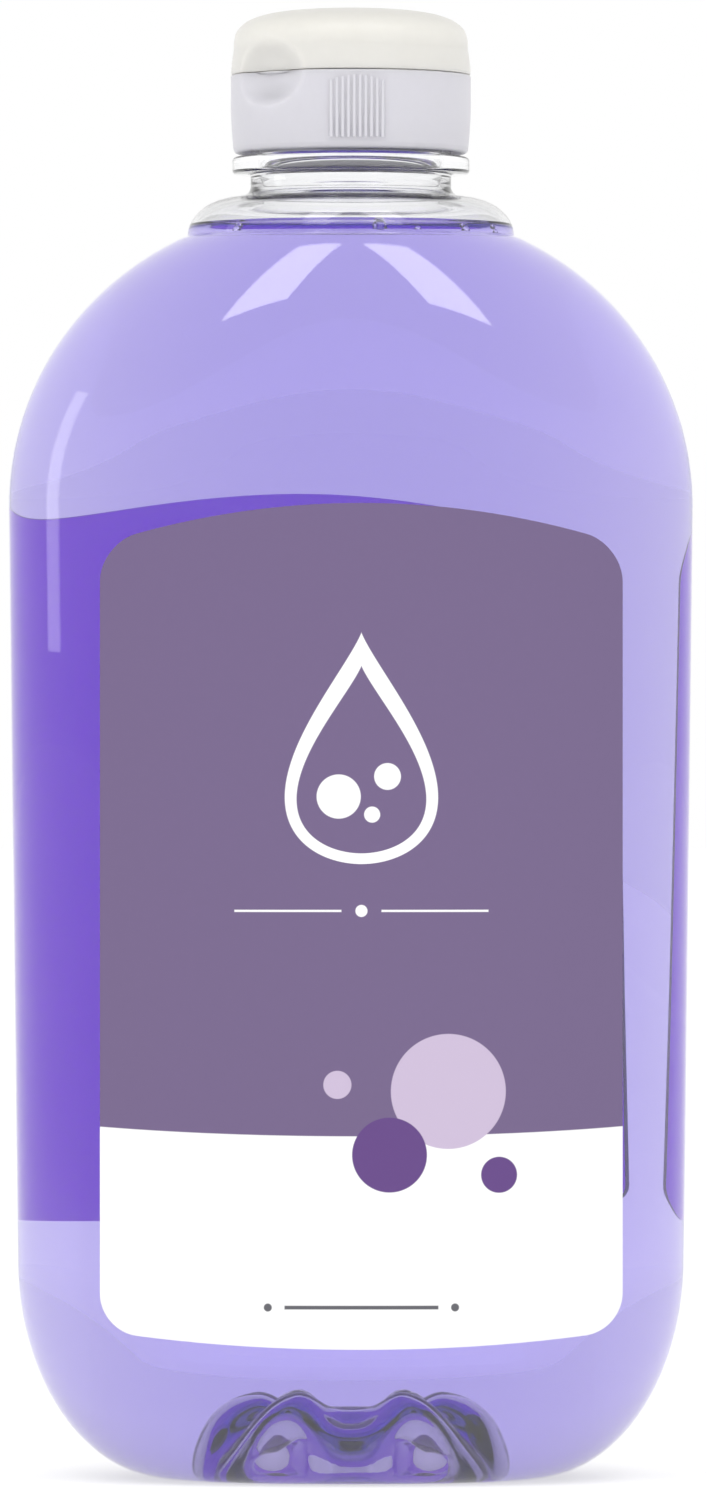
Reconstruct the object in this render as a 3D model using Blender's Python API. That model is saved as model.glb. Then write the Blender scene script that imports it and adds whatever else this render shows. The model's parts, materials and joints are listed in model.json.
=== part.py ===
"""Clear oval refill bottle of liquid hand soap, with a screw cap and a hinged flip lid.

Sizes are in metres. The origin is at the middle of the ring the bottle stands on, +Z is up,
the front label faces -Y and the bottle's width runs along X. The pieces are the blown bottle,
the liquid in it, two labels, the screw cap with its sealing washer, and the cap's lid.
"""
import math

import bmesh
import bpy
from mathutils import Vector

MM = 0.001
GAP = 0.3 * MM  # clearance between pieces that touch
SEGMENTS = 40  # facets round every turned or lofted shape

# Bottle body: an oval section with flattened front and back
HALF_WIDTH_TOP = 52.1 * MM  # at the foot of the shoulder
HALF_WIDTH_FOOT = 50.75 * MM  # at the top of the base corner
HALF_DEPTH = 33.25 * MM
SECTION_POWER = 2.5  # 2 is an ellipse; more is squarer
WALL = 0.8 * MM

# Base: standing ring, rounded corner and pushed-up middle
CORNER_WIDTH = 22.9 * MM
CORNER_WIDTH_HEIGHT = 33.0 * MM
CORNER_DEPTH = 12.5 * MM
CORNER_DEPTH_HEIGHT = 17.0 * MM
STANDING_RING = 3.6 * MM
PUSH_UP_HEIGHT = 12.0 * MM

# Shoulder: quarter ellipses from the body to the round collar
SHOULDER_Z = 147.8 * MM
SHOULDER_RISE = 45.2 * MM
SHOULDER_RUN = 46.4 * MM
FRONT_SHOULDER_Z = 158.0 * MM
FRONT_SHOULDER_RISE = 32.0 * MM
SHOULDER_TOP_Z = 188.4 * MM
SHOULDER_TOP_RADIUS = 26.15 * MM

# Collar, neck and support ring
COLLAR_RADIUS = 24.9 * MM
COLLAR_Z = 188.9 * MM
COLLAR_TOP_RADIUS = 17.2 * MM
COLLAR_TOP_Z = 194.8 * MM
NECK_RADIUS = 15.3 * MM
NECK_BORE = 14.0 * MM
NECK_FOOT_Z = 195.4 * MM
RING_RADIUS = 18.07 * MM
RING_Z = 198.4 * MM
RING_THICKNESS = 2.5 * MM
LIP_Z = 210.2 * MM
EDGE = 0.35 * MM  # small rounding of moulded edges

# Liquid
LIQUID_Z = 189.0 * MM
LIQUID_TOP_RADIUS = 23.6 * MM

# Labels
LABEL_THICKNESS = 0.25 * MM
LABEL_CORNER = 5.5 * MM
# Each label sits a little to the right of the middle, seen from its own side
FRONT_LABEL = {"side": -1, "half_width": 39.0 * MM, "shift": 1.55 * MM,
               "bottom": 23.4 * MM, "bottom_bow": 2.5 * MM,
               "top": 141.4 * MM, "top_bow": 6.1 * MM}
BACK_LABEL = {"side": 1, "half_width": 39.0 * MM, "shift": -6.9 * MM,
              "bottom": 38.2 * MM, "bottom_bow": 0.0,
              "top": 142.0 * MM, "top_bow": 8.0 * MM}

# Thread: one turn on the neck and one in the cap
THREAD_PITCH = 4.2 * MM
THREAD_TIP_HEIGHT = 1.0 * MM
THREAD_ROOT_HEIGHT = 2.0 * MM
NECK_THREAD_TIP = 16.4 * MM
NECK_THREAD_Z = 204.3 * MM
CAP_THREAD_TIP = 15.7 * MM
CAP_THREAD_DROP = 1.7 * MM  # the cap's thread runs this far under the neck's

# Cap
CAP_BOTTOM_Z = 201.5 * MM
PARTING_Z = 213.4 * MM  # between the cap and its lid
CAP_RADIUS = 18.3 * MM
CAP_BORE = 16.7 * MM
DECK_TOP_Z = 213.0 * MM
DECK_UNDER_Z = 211.5 * MM
NOZZLE_RADIUS = 4.0 * MM
NOZZLE_BORE = 2.6 * MM
NOZZLE_TOP_Z = 215.5 * MM
WASHER_RADIUS = 15.1 * MM
WASHER_BORE = 11.0 * MM

# Lid
LID_TOP_Z = 223.4 * MM
PLUG_RADIUS = 2.2 * MM
PLUG_BOTTOM_Z = 212.0 * MM
HINGE_DISTANCE = 17.6 * MM  # from the cap's axis to the hinge line
HINGE_FLAT_DEPTH = 5.0 * MM  # how far the flat runs down the cap's wall

# Thumb recess: an ellipsoid scooped out of the cap and the lid, opposite the hinge
RECESS_CENTRE = 19.4 * MM
RECESS_RADIAL = 3.0 * MM
RECESS_ACROSS = 11.5 * MM
RECESS_UP = 5.7 * MM
RECESS_WALL = 1.1 * MM
RECESS_DIRECTION = Vector((-1, -1, 0)).normalized()


# ---------------------------------------------------------------- materials
def material(name, colour, roughness, alpha=1.0, transmission=0.0):
    made = bpy.data.materials.new(name)
    made.use_nodes = True
    shader = made.node_tree.nodes["Principled BSDF"]
    shader.inputs["Base Color"].default_value = (*colour, 1.0)
    shader.inputs["Roughness"].default_value = roughness
    shader.inputs["Metallic"].default_value = 0.0
    shader.inputs["Alpha"].default_value = alpha
    shader.inputs["Transmission Weight"].default_value = transmission
    return made


# ---------------------------------------------------------------- mesh tools
def add_object(name, mesh, surface):
    piece = bpy.data.objects.new(name, mesh)
    bpy.context.scene.collection.objects.link(piece)
    if surface:
        mesh.materials.append(surface)
    mesh.shade_smooth()
    mesh.set_sharp_from_angle(angle=math.radians(35))
    return piece


def loft(name, rings, surface, closed=False):
    """Skin a list of rings of points. Closed joins the last ring to the first."""
    shape = bmesh.new()
    loops = [[shape.verts.new(point) for point in ring] for ring in rings]
    pairs = list(zip(loops, loops[1:]))
    if closed:
        pairs.append((loops[-1], loops[0]))
    else:
        shape.faces.new(loops[0][::-1])
        shape.faces.new(loops[-1])
    for lower, upper in pairs:
        count = len(lower)
        for j in range(count):
            k = (j + 1) % count
            shape.faces.new((lower[j], lower[k], upper[k], upper[j]))
    bmesh.ops.recalc_face_normals(shape, faces=shape.faces)
    mesh = bpy.data.meshes.new(name)
    shape.to_mesh(mesh)
    shape.free()
    return add_object(name, mesh, surface)


def oval(half_width, half_depth, power, z):
    ring = []
    for j in range(SEGMENTS):
        turn = math.tau * j / SEGMENTS
        cos, sin = math.cos(turn), math.sin(turn)
        x = half_width * math.copysign(abs(cos) ** (2 / power), cos)
        y = half_depth * math.copysign(abs(sin) ** (2 / power), sin)
        ring.append(Vector((x, y, z)))
    return ring


def circle(radius, z):
    return oval(radius, radius, 2, z)


def turned(name, profile, surface, closed=False):
    return loft(name, [circle(radius, z) for radius, z in profile], surface, closed)


def inset(rings, distance):
    """The same rings moved inwards along the surface's normals."""
    moved = []
    for i, ring in enumerate(rings):
        below = rings[max(i - 1, 0)]
        above = rings[min(i + 1, len(rings) - 1)]
        points = []
        for j, point in enumerate(ring):
            around = ring[(j + 1) % SEGMENTS] - ring[j - 1]
            normal = around.cross(above[j] - below[j]).normalized()
            points.append(point - normal * distance)
        moved.append(points)
    return moved


def ellipsoid(name, grow):
    """The thumb recess's ellipsoid, its half axes larger by grow."""
    shape = bmesh.new()
    bmesh.ops.create_uvsphere(shape, u_segments=28, v_segments=16, radius=1.0)
    half = (RECESS_RADIAL + grow, RECESS_ACROSS + grow, RECESS_UP + grow)
    across = Vector((0, 0, 1)).cross(RECESS_DIRECTION)
    centre = RECESS_DIRECTION * RECESS_CENTRE + Vector((0, 0, PARTING_Z))
    for vertex in shape.verts:
        local = vertex.co.copy()
        vertex.co = (centre + RECESS_DIRECTION * local.x * half[0] + across * local.y * half[1]
                     + Vector((0, 0, local.z * half[2])))
    bmesh.ops.recalc_face_normals(shape, faces=shape.faces)
    mesh = bpy.data.meshes.new(name)
    shape.to_mesh(mesh)
    shape.free()
    return hidden(add_object(name, mesh, None))


def hidden(cutter):
    cutter.hide_render = True
    cutter.display_type = "WIRE"
    return cutter


def boolean(piece, tool, operation):
    modifier = piece.modifiers.new(tool.name, "BOOLEAN")
    modifier.operation = operation
    modifier.object = tool


def thread(name, root_radius, tip_radius, first_z, first_turn):
    """One turn of a helical ridge, fading out at both ends."""
    sections = []
    for i in range(SEGMENTS + 1):
        turns = first_turn + i / SEGMENTS
        turn = math.tau * turns
        z = first_z + THREAD_PITCH * turns
        fade = max(0.3, min(1.0, i / 4, (SEGMENTS - i) / 4))
        tip = root_radius + (tip_radius - root_radius) * fade
        corners = ((root_radius, -THREAD_ROOT_HEIGHT / 2), (tip, -THREAD_TIP_HEIGHT / 2),
                   (tip, THREAD_TIP_HEIGHT / 2), (root_radius, THREAD_ROOT_HEIGHT / 2))
        sections.append([Vector((r * math.cos(turn), r * math.sin(turn), z + dz))
                         for r, dz in corners])
    return hidden(loft(name, sections, None))


# ---------------------------------------------------------------- bottle outline
def quarter(part):
    """How far a quarter ellipse has come in, from 0 to 1, at a part of its height."""
    return 1 - math.sqrt(max(0.0, 1 - min(part, 1.0) ** 2))


def body_half_width(z):
    up = (z - CORNER_WIDTH_HEIGHT) / (SHOULDER_Z - CORNER_WIDTH_HEIGHT)
    width = HALF_WIDTH_FOOT + (HALF_WIDTH_TOP - HALF_WIDTH_FOOT) * min(max(up, 0.0), 1.0)
    if z < CORNER_WIDTH_HEIGHT:
        width -= CORNER_WIDTH * quarter(1 - z / CORNER_WIDTH_HEIGHT)
    if z > SHOULDER_Z:
        width -= SHOULDER_RUN * quarter((z - SHOULDER_Z) / SHOULDER_RISE)
    return width


def body_half_depth(z):
    depth = HALF_DEPTH
    if z < CORNER_DEPTH_HEIGHT:
        depth -= CORNER_DEPTH * quarter(1 - z / CORNER_DEPTH_HEIGHT)
    if z > FRONT_SHOULDER_Z:
        whole = quarter((SHOULDER_TOP_Z - FRONT_SHOULDER_Z) / FRONT_SHOULDER_RISE)
        run = (HALF_DEPTH - SHOULDER_TOP_RADIUS) / whole
        depth -= run * quarter((z - FRONT_SHOULDER_Z) / FRONT_SHOULDER_RISE)
    return depth


def body_power(z):
    up = min(max((z - SHOULDER_Z) / (SHOULDER_TOP_Z - SHOULDER_Z), 0.0), 1.0)
    return SECTION_POWER + (2 - SECTION_POWER) * up * up


def body_ring(z):
    return oval(body_half_width(z), body_half_depth(z), body_power(z), z)


def base_rings():
    """From the middle of the pushed-up base out to the standing ring."""
    half_width = body_half_width(0) - STANDING_RING
    half_depth = body_half_depth(0) - STANDING_RING
    rings = []
    for part in (0.15, 0.45, 0.7, 0.9, 1.0):
        z = PUSH_UP_HEIGHT * (1 - part ** 3)
        rings.append(oval(half_width * part, half_depth * part, SECTION_POWER, z))
    return rings


def corner_rings():
    heights = [CORNER_WIDTH_HEIGHT * (1 - math.cos(math.radians(step))) for step in range(0, 91, 13)]
    return [body_ring(z) for z in heights] + [body_ring(CORNER_WIDTH_HEIGHT)]


def shoulder_rings():
    rise = SHOULDER_TOP_Z - SHOULDER_Z
    steps = 9
    return [body_ring(SHOULDER_Z + rise * math.sin(math.pi / 2 * i / steps)) for i in range(steps + 1)]


def collar_rings():
    rings = []
    steps = 4
    for i in range(steps + 1):
        turn = math.pi / 2 * i / steps
        radius = COLLAR_TOP_RADIUS + (COLLAR_RADIUS - COLLAR_TOP_RADIUS) * math.cos(turn)
        z = COLLAR_Z + (COLLAR_TOP_Z - COLLAR_Z) * math.sin(turn)
        rings.append(circle(radius, z))
    return rings


def outer_body():
    return base_rings() + corner_rings() + shoulder_rings()


def make_bottle(surface):
    body = outer_body()
    collar = collar_rings()
    ring_top = RING_Z + RING_THICKNESS
    finish = [(NECK_RADIUS, NECK_FOOT_Z), (NECK_RADIUS, RING_Z), (RING_RADIUS - EDGE, RING_Z),
              (RING_RADIUS, RING_Z + EDGE), (RING_RADIUS, ring_top - EDGE),
              (RING_RADIUS - EDGE, ring_top), (NECK_RADIUS, ring_top), (NECK_RADIUS, LIP_Z - EDGE),
              (NECK_RADIUS - EDGE, LIP_Z), (NECK_BORE + EDGE, LIP_Z), (NECK_BORE, LIP_Z - EDGE),
              (NECK_BORE, NECK_FOOT_Z)]
    inside = inset(body + collar, WALL)[::-1]
    rings = body + collar + [circle(radius, z) for radius, z in finish] + inside
    bottle = loft("bottle", rings, surface)
    ridge = thread("neck_thread", NECK_RADIUS - EDGE, NECK_THREAD_TIP, NECK_THREAD_Z, 0.0)
    boolean(bottle, ridge, "UNION")
    return bottle


def make_liquid(surface):
    body = outer_body()
    rings = inset(body + collar_rings(), WALL + GAP)[:len(body) + 1]
    rings.append(circle(LIQUID_TOP_RADIUS, LIQUID_Z))
    return loft("soap_fill", rings, surface)


# ---------------------------------------------------------------- labels
def on_wall(x, z, side):
    """The point of the faceted wall at x and z, on the front (side -1) or the back (side 1)."""
    ring = [point for point in body_ring(z) if point.y * side >= 0]
    ring.sort(key=lambda point: point.x)
    for left, right in zip(ring, ring[1:]):
        if left.x <= x <= right.x:
            return left.lerp(right, (x - left.x) / (right.x - left.x))
    raise ValueError("the label is wider than the bottle")


def label_columns(half_width):
    """Across a label: evenly over the middle and round each corner's arc."""
    straight = half_width - LABEL_CORNER
    corner = [straight + LABEL_CORNER * math.sin(math.radians(turn)) for turn in (30, 60, 90)]
    middle = [straight * (i / 10 - 1) for i in range(21)]
    return [-x for x in reversed(corner)] + middle + corner


def make_label(name, edges, surface):
    side, shift, half_width = edges["side"], edges["shift"], edges["half_width"]
    grids = {GAP: [], GAP + LABEL_THICKNESS: []}
    for x in label_columns(half_width):
        bow = 1 - (x / half_width) ** 2
        past = max(0.0, abs(x) - (half_width - LABEL_CORNER))
        trim = LABEL_CORNER - math.sqrt(max(0.0, LABEL_CORNER ** 2 - past ** 2))
        top = edges["top"] + edges["top_bow"] * bow - trim
        bottom = edges["bottom"] - edges["bottom_bow"] * bow + trim
        for away, columns in grids.items():
            column = []
            foot = max(CORNER_WIDTH_HEIGHT, bottom + MM)  # above it the wall is straight
            for z in (bottom, (bottom + foot) / 2, foot, top):
                point = on_wall(x + shift, z, side)
                step = on_wall(x + shift + MM, z, side) - on_wall(x + shift - MM, z, side)
                normal = Vector((-step.y, step.x, 0)).normalized() * side
                column.append(point + normal * away)
            columns.append(column)
    inner, outer = grids.values()
    sections = [near + far[::-1] for near, far in zip(inner, outer)]
    return loft(name, sections, surface)


# ---------------------------------------------------------------- cap
def hinge_flat(name, low_z, high_z):
    """A block whose inner face is the flat on the hinge side."""
    outward = -RECESS_DIRECTION
    along = Vector((0, 0, 1)).cross(outward)
    near, far, reach = HINGE_DISTANCE, CAP_RADIUS + 3 * MM, 10 * MM
    rings = []
    for z in (low_z, high_z):
        rings.append([outward * near - along * reach + Vector((0, 0, z)),
                      outward * far - along * reach + Vector((0, 0, z)),
                      outward * far + along * reach + Vector((0, 0, z)),
                      outward * near + along * reach + Vector((0, 0, z))])
    return hidden(loft(name, rings, None))


def make_cap(surface):
    rim_z = PARTING_Z - GAP / 2
    profile = [(CAP_RADIUS - 0.8 * MM, CAP_BOTTOM_Z), (CAP_RADIUS - 0.45 * MM, CAP_BOTTOM_Z + EDGE),
               (CAP_RADIUS - 0.1 * MM, 207.0 * MM), (CAP_RADIUS, rim_z),
               (CAP_BORE + 0.2 * MM, rim_z), (CAP_BORE + 0.2 * MM, DECK_TOP_Z),
               (NOZZLE_RADIUS + 0.3 * MM, DECK_TOP_Z), (NOZZLE_RADIUS, NOZZLE_TOP_Z - EDGE),
               (NOZZLE_RADIUS - EDGE, NOZZLE_TOP_Z), (NOZZLE_BORE, NOZZLE_TOP_Z),
               (NOZZLE_BORE, DECK_UNDER_Z), (CAP_BORE - 1.1 * MM, DECK_UNDER_Z),
               (CAP_BORE, DECK_UNDER_Z - 1.9 * MM), (CAP_BORE, CAP_BOTTOM_Z + EDGE),
               (CAP_BORE + EDGE, CAP_BOTTOM_Z)]
    cap = turned("cap_base", profile, surface, closed=True)
    first_z = NECK_THREAD_Z - CAP_THREAD_DROP
    boolean(cap, thread("cap_thread", CAP_BORE + EDGE, CAP_THREAD_TIP, first_z, 0.06), "UNION")
    boolean(cap, ellipsoid("recess_in_cap", 0.0), "DIFFERENCE")
    flat = hinge_flat("hinge_flat_in_cap", PARTING_Z - HINGE_FLAT_DEPTH, PARTING_Z + GAP)
    boolean(cap, flat, "DIFFERENCE")
    return cap


def make_washer(surface):
    low, high = LIP_Z + GAP, DECK_UNDER_Z - GAP
    profile = [(WASHER_BORE, low), (WASHER_RADIUS, low), (WASHER_RADIUS, high), (WASHER_BORE, high)]
    return turned("cap_washer", profile, surface, closed=True)


def make_lid(surface, hinge):
    rim_z = PARTING_Z + GAP / 2
    outside = [(2.0 * MM, LID_TOP_Z), (8.0 * MM, 223.1 * MM), (12.4 * MM, 222.4 * MM),
               (15.0 * MM, 221.3 * MM), (16.8 * MM, 219.8 * MM), (17.75 * MM, 217.9 * MM),
               (18.1 * MM, 215.8 * MM), (CAP_RADIUS - 0.05 * MM, rim_z)]
    lid = turned("cap_lid", outside, surface)
    below = rim_z - 1.0 * MM
    core = PLUG_RADIUS / 2  # left standing inside the plug
    room = [(core, 221.8 * MM), (13.0 * MM, 220.9 * MM), (15.4 * MM, 219.4 * MM),
            (16.6 * MM, 217.2 * MM), (16.9 * MM, rim_z), (16.9 * MM, below), (core, below)]
    cavity = hidden(turned("lid_room", room, None, closed=True))
    boolean(cavity, ellipsoid("recess_backing", RECESS_WALL), "DIFFERENCE")
    boolean(lid, cavity, "DIFFERENCE")
    boolean(lid, ellipsoid("recess_in_lid", 0.0), "DIFFERENCE")
    boolean(lid, hinge_flat("hinge_flat_in_lid", PARTING_Z - GAP, LID_TOP_Z), "DIFFERENCE")
    plug = turned("lid_plug", [(PLUG_RADIUS - EDGE, PLUG_BOTTOM_Z), (PLUG_RADIUS, PLUG_BOTTOM_Z + EDGE),
                               (PLUG_RADIUS, 222.0 * MM)], None)
    boolean(lid, hidden(plug), "UNION")
    lid.data.transform(hinge.matrix_world.inverted())
    lid.parent = hinge
    return lid


def make_hinge_axis():
    hinge = bpy.data.objects.new("lid_hinge_axis", None)
    hinge.location = -RECESS_DIRECTION * HINGE_DISTANCE + Vector((0, 0, PARTING_Z))
    bpy.context.scene.collection.objects.link(hinge)
    bpy.context.view_layer.update()
    return hinge


def main():
    for old in list(bpy.data.objects):
        bpy.data.objects.remove(old, do_unlink=True)
    make_bottle(material("clear_plastic", (0.93, 0.94, 0.98), 0.06, 0.35, 1.0))
    make_liquid(material("violet_liquid", (0.42, 0.33, 0.78), 0.05, 0.8, 0.8))
    paper = material("label_film", (0.20, 0.14, 0.28), 0.4)
    make_label("front_label", FRONT_LABEL, paper)
    make_label("back_label", BACK_LABEL, paper)
    white = material("white_plastic", (0.80, 0.81, 0.84), 0.35)
    make_cap(white)
    make_washer(material("washer_foam", (0.85, 0.85, 0.82), 0.8))
    make_lid(material("warm_white_plastic", (0.84, 0.84, 0.79), 0.35), make_hinge_axis())


main()
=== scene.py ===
"""Looks of a clear refill bottle of liquid hand soap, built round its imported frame."""
import json
import math

import bmesh
import bpy
from bpy.props import FloatProperty, FloatVectorProperty, IntProperty, PointerProperty
from mathutils import Matrix, Vector


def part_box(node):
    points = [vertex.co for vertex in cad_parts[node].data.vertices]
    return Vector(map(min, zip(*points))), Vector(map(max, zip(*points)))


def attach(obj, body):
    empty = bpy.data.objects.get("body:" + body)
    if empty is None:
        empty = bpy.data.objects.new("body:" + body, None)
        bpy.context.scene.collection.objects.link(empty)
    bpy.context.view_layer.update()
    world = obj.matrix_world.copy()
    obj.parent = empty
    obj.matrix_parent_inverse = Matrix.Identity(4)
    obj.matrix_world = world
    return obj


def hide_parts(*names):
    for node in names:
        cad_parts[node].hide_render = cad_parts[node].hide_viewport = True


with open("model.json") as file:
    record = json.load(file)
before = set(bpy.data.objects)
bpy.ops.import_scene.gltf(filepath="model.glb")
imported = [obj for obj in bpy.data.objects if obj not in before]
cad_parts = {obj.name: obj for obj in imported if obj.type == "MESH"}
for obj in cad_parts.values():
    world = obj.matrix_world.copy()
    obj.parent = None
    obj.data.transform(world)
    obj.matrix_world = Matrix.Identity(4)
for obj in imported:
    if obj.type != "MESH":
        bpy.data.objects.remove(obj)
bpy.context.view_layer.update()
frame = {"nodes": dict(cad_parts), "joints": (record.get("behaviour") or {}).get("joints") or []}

bl_info = {
    "name": "Refill bottle of hand soap",
    "version": (1, 0, 0),
    "blender": (4, 5, 0),
    "location": "View3D > Sidebar > Refill bottle",
    "description": "Clear bottle, soap, labels and flip cap round a packed frame",
    "category": "Add Mesh",
}

MM = 0.001
BOTTLE_LOW, BOTTLE_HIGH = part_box("bottle")
SOAP_LOW, SOAP_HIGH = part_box("soap_fill")
CAP_LOW, CAP_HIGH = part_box("cap_base")
LID_LOW, LID_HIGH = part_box("cap_lid")
FRONT_LOW, FRONT_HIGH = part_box("front_label")
BACK_LOW, BACK_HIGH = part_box("back_label")
HINGE = next(joint for joint in frame["joints"] if joint["name"] == "lid_hinge")
PARTING_Z = HINGE["pos_m"][2]
HINGE_DISTANCE = math.hypot(*HINGE["pos_m"][:2])
RECESS_TURN = math.atan2(-HINGE["pos_m"][1], -HINGE["pos_m"][0])


def linear(red, green, blue):
    """A display colour, 0 to 255 in each channel, as linear values."""
    def channel(value):
        value /= 255
        return value / 12.92 if value <= 0.04045 else ((value + 0.055) / 1.055) ** 2.4
    return channel(red), channel(green), channel(blue)


# ---------------------------------------------------------------- settings
def length(name, description, millimetres):
    return FloatProperty(name=name, description=description, default=millimetres * MM,
                         subtype="DISTANCE", unit="LENGTH", precision=5)


def colour(name, description, value):
    return FloatVectorProperty(name=name, description=description, default=value, size=3,
                               subtype="COLOR", min=0.0, max=1.0)


class BottleSettings(bpy.types.PropertyGroup):
    half_width: FloatProperty(name="Half width", description="At the foot of the shoulder",
                              default=BOTTLE_HIGH.x, subtype="DISTANCE", unit="LENGTH")
    half_depth: FloatProperty(name="Half depth", description="At the flat front",
                              default=BOTTLE_HIGH.y, subtype="DISTANCE", unit="LENGTH")
    foot_draw: length("Foot draw", "How much narrower each side is at the foot", 1.35)
    squareness: FloatProperty(name="Squareness", description="Power of the oval section",
                              default=2.5, min=2.0, max=4.0)
    wall: length("Wall", "Thickness of the blown wall", 0.7)
    shoulder_z: length("Shoulder height", "Where the sides begin to turn in", 147.8)
    front_shoulder_z: length("Front shoulder height", "Where the front begins to turn in", 158.0)
    shoulder_top_z: length("Shoulder top", "Where the shoulder meets the collar", 188.4)
    shoulder_top_radius: length("Shoulder top radius", "Radius where it meets the collar", 26.15)
    collar_radius: length("Collar radius", "Outside radius of the collar", 24.9)
    neck_radius: length("Neck radius", "Outside radius of the neck", 15.3)
    neck_bore: length("Neck bore", "Inside radius of the neck", 14.0)
    ring_radius: length("Support ring radius", "Outside radius of the ring under the cap", 18.07)
    ring_z: length("Support ring height", "Underside of the support ring", 198.4)
    push_up: length("Push-up", "How far the middle of the base is raised", 12.0)
    segments: IntProperty(name="Segments", description="Facets round the bottle", default=160)


class SoapSettings(bpy.types.PropertyGroup):
    tint: colour("Tint", "What the liquid lets through", (0.20, 0.054, 0.80))
    density: FloatProperty(name="Density", description="Absorption for each metre", default=18.5)
    index: FloatProperty(name="Refractive index", description="Of the liquid", default=1.34)
    bubbles: IntProperty(name="Bubbles", description="Bubbles at the surface", default=5)


class LabelSettings(bpy.types.PropertyGroup):
    mauve: colour("Mauve", "Upper field", linear(113, 96, 134))
    white: colour("White", "Lower field", (0.93, 0.93, 0.93))
    lilac: colour("Lilac", "Light shapes", linear(200, 184, 210))
    violet: colour("Violet", "Dark shapes", linear(98, 66, 131))
    grey: colour("Grey", "Small mark", linear(97, 97, 103))
    inner: colour("Inner side", "The glued side, seen through the soap", (0.75, 0.42, 0.98))
    # Painted light: the glued side glows in this colour, standing in for light that comes through the film
    painted_glow: colour("Glow", "Light that comes through the film", (0.12, 0.0, 0.40))
    thickness: length("Thickness", "Of the film above the wall", 0.12)
    corner: length("Corner radius", "Of the label's corners", 5.5)


class CapSettings(bpy.types.PropertyGroup):
    # Painted light and shade: cap and lid are one moulded white; the skirt's darker, bluer copy is painted
    # shade and painted violet reflection, the lid's lighter, warmer copy is painted light from above
    cap_white: colour("Cap white", "Skirt of the cap", (0.67, 0.66, 0.71))
    lid_white: colour("Lid white", "Flip lid", (0.80, 0.78, 0.72))
    recess_radial: length("Recess depth axis", "Half axis towards the cap's axis", 3.0)
    recess_across: length("Recess width axis", "Half axis round the cap", 11.5)
    recess_up: length("Recess height axis", "Half axis up the cap", 5.7)
    recess_centre: length("Recess centre", "Its distance from the cap's axis", 19.4)
    rib_count: IntProperty(name="Ribs", description="Ribs in each patch", default=10)
    rib_patches: IntProperty(name="Rib patches", description="Patches round the cap", default=2)
    rib_pitch: length("Rib pitch", "From one rib to the next", 0.87)
    rib_radius: length("Rib radius", "Of each half-round rib", 0.27)
    rib_height: length("Rib height", "Of the tallest rib", 9.4)
    segments: IntProperty(name="Segments", description="Facets round the cap", default=320)


class StageSettings(bpy.types.PropertyGroup):
    world: FloatProperty(name="Tent", description="Brightness of the light tent", default=1.0)
    overhead: FloatProperty(name="Overhead", description="Tent straight above", default=0.55)
    strip_power: FloatProperty(name="Strip power", description="Each soft strip, in watts",
                               default=1.7)
    side_power: FloatProperty(name="Side power", description="The panel at the left, in watts",
                              default=0.4)
    camera_distance: FloatProperty(name="Camera distance", description="From the bottle's axis",
                                   default=1.7, unit="LENGTH")
    camera_height: length("Camera height", "Above the table", 109.1)


SETTINGS = {"refill_bottle": BottleSettings, "refill_soap": SoapSettings,
            "refill_label": LabelSettings, "refill_cap": CapSettings,
            "refill_stage": StageSettings}


# ---------------------------------------------------------------- node building
class Value:
    """A number socket that takes part in Python arithmetic."""

    def __init__(self, kit, socket):
        self.kit, self.socket = kit, socket

    def math(self, operation, *others):
        inputs = {i: value for i, value in enumerate((self, *others))}
        return self.kit.value("ShaderNodeMath", {"operation": operation}, inputs)

    def __add__(self, other):
        return self.math("ADD", other)

    __radd__ = __add__

    def __sub__(self, other):
        return self.math("SUBTRACT", other)

    def __rsub__(self, other):
        return self * -1 + other

    def __mul__(self, other):
        return self.math("MULTIPLY", other)

    __rmul__ = __mul__

    def __truediv__(self, other):
        return self.math("DIVIDE", other)

    def __pow__(self, other):
        return self.math("POWER", other)

    def __abs__(self):
        return self.math("ABSOLUTE")

    def clamped(self, low=0.0, high=1.0):
        return self.math("MINIMUM", high).math("MAXIMUM", low)

    def larger(self, other):
        return self.math("MAXIMUM", other)


class Kit:
    """Adds nodes to a tree, shader or geometry."""

    def __init__(self, tree):
        self.tree = tree

    def node(self, kind, settings=None, inputs=None):
        made = self.tree.nodes.new(kind)
        for key, value in (settings or {}).items():
            setattr(made, key, value)
        for key, value in (inputs or {}).items():
            self.feed(made.inputs[key], value)
        return made

    def feed(self, socket, value):
        if isinstance(value, Value):
            self.tree.links.new(value.socket, socket)
        elif isinstance(value, bpy.types.NodeSocket):
            self.tree.links.new(value, socket)
        else:
            socket.default_value = value

    def value(self, kind, settings=None, inputs=None, output=0):
        return Value(self, self.node(kind, settings, inputs).outputs[output])


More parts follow.
